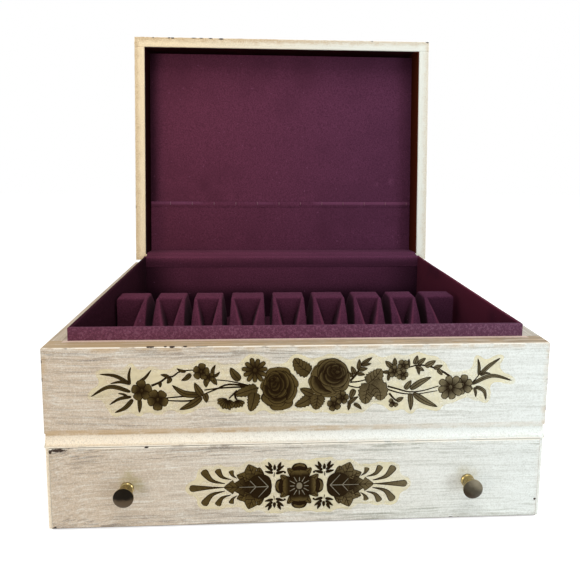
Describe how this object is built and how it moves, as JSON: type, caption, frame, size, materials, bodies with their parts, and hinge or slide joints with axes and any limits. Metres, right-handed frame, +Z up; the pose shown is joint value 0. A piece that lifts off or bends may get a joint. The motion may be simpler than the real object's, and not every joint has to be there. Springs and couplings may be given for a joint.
{
  "type": "silverware chest",
  "caption": "Painted wooden silverware chest: hinged lid over a cloth-lined well with a slotted rack, and a full-width drawer with brass knobs below",
  "frame": {"origin": "centre of the underside of the case, on the surface it stands on", "axes": "+X to the right seen from the front, -Y out of the drawer front, +Z up"},
  "size_m": [0.4064, 0.382, 0.4589],
  "materials": {
    "painted_wood": "brushed off-white paint with an ochre glaze, worn at the edges",
    "bare_wood": "bare, smooth",
    "plum_cloth": "short-napped flannel",
    "brass": "aged, rubbed bright on the necks",
    "screw_steel": "plain"
  },
  "bodies": {
    "case": {"case_front": "painted_wood", "case_left": "painted_wood", "case_right": "painted_wood", "case_back": "painted_wood", "case_bottom": "bare_wood", "front_moulding": "painted_wood", "well_floor_board": "bare_wood", "liner_front": "plum_cloth", "liner_back": "plum_cloth", "liner_left": "plum_cloth", "liner_right": "plum_cloth", "liner_floor": "plum_cloth", "rack_base": "plum_cloth", "rack_block_1": "plum_cloth", "rack_block_2": "plum_cloth", "rack_block_3": "plum_cloth", "rack_block_4": "plum_cloth", "rack_block_5": "plum_cloth", "rack_block_6": "plum_cloth", "rack_block_7": "plum_cloth", "rack_block_8": "plum_cloth", "rack_block_9": "plum_cloth", "hinge_cover": "plum_cloth", "hinge_leaf_case_left": "brass", "hinge_leaf_case_right": "brass", "hinge_pin_left": "brass", "hinge_pin_right": "brass", "hinge_screws_case": "brass"},
    "lid": {"lid_top": "painted_wood", "lid_front_rail": "painted_wood", "lid_left_rail": "painted_wood", "lid_right_rail": "painted_wood", "lid_back_rail": "painted_wood", "lid_panel": "plum_cloth", "lid_wall_lining": "plum_cloth", "pocket_band": "plum_cloth", "hinge_leaf_lid_left": "brass", "hinge_leaf_lid_right": "brass", "hinge_screws_lid": "brass"},
    "drawer": {"drawer_front": "painted_wood", "drawer_left": "bare_wood", "drawer_right": "bare_wood", "drawer_back": "bare_wood", "drawer_bottom": "bare_wood", "drawer_floor_felt": "plum_cloth", "drawer_wall_felt": "plum_cloth", "knob_left": "brass", "knob_right": "brass", "knob_screws": "screw_steel"}
  },
  "joints": [
    {"name": "lid_hinge", "type": "hinge", "parent": "case", "child": "lid", "pos_m": [0, 0.1549, 0.1524], "axis": [1, 0, 0], "range_deg": [0, 94]},
    {"name": "drawer_slide", "type": "slide", "parent": "case", "child": "drawer", "axis": [0, -1, 0], "range_m": [0, 0.22]}
  ]
}
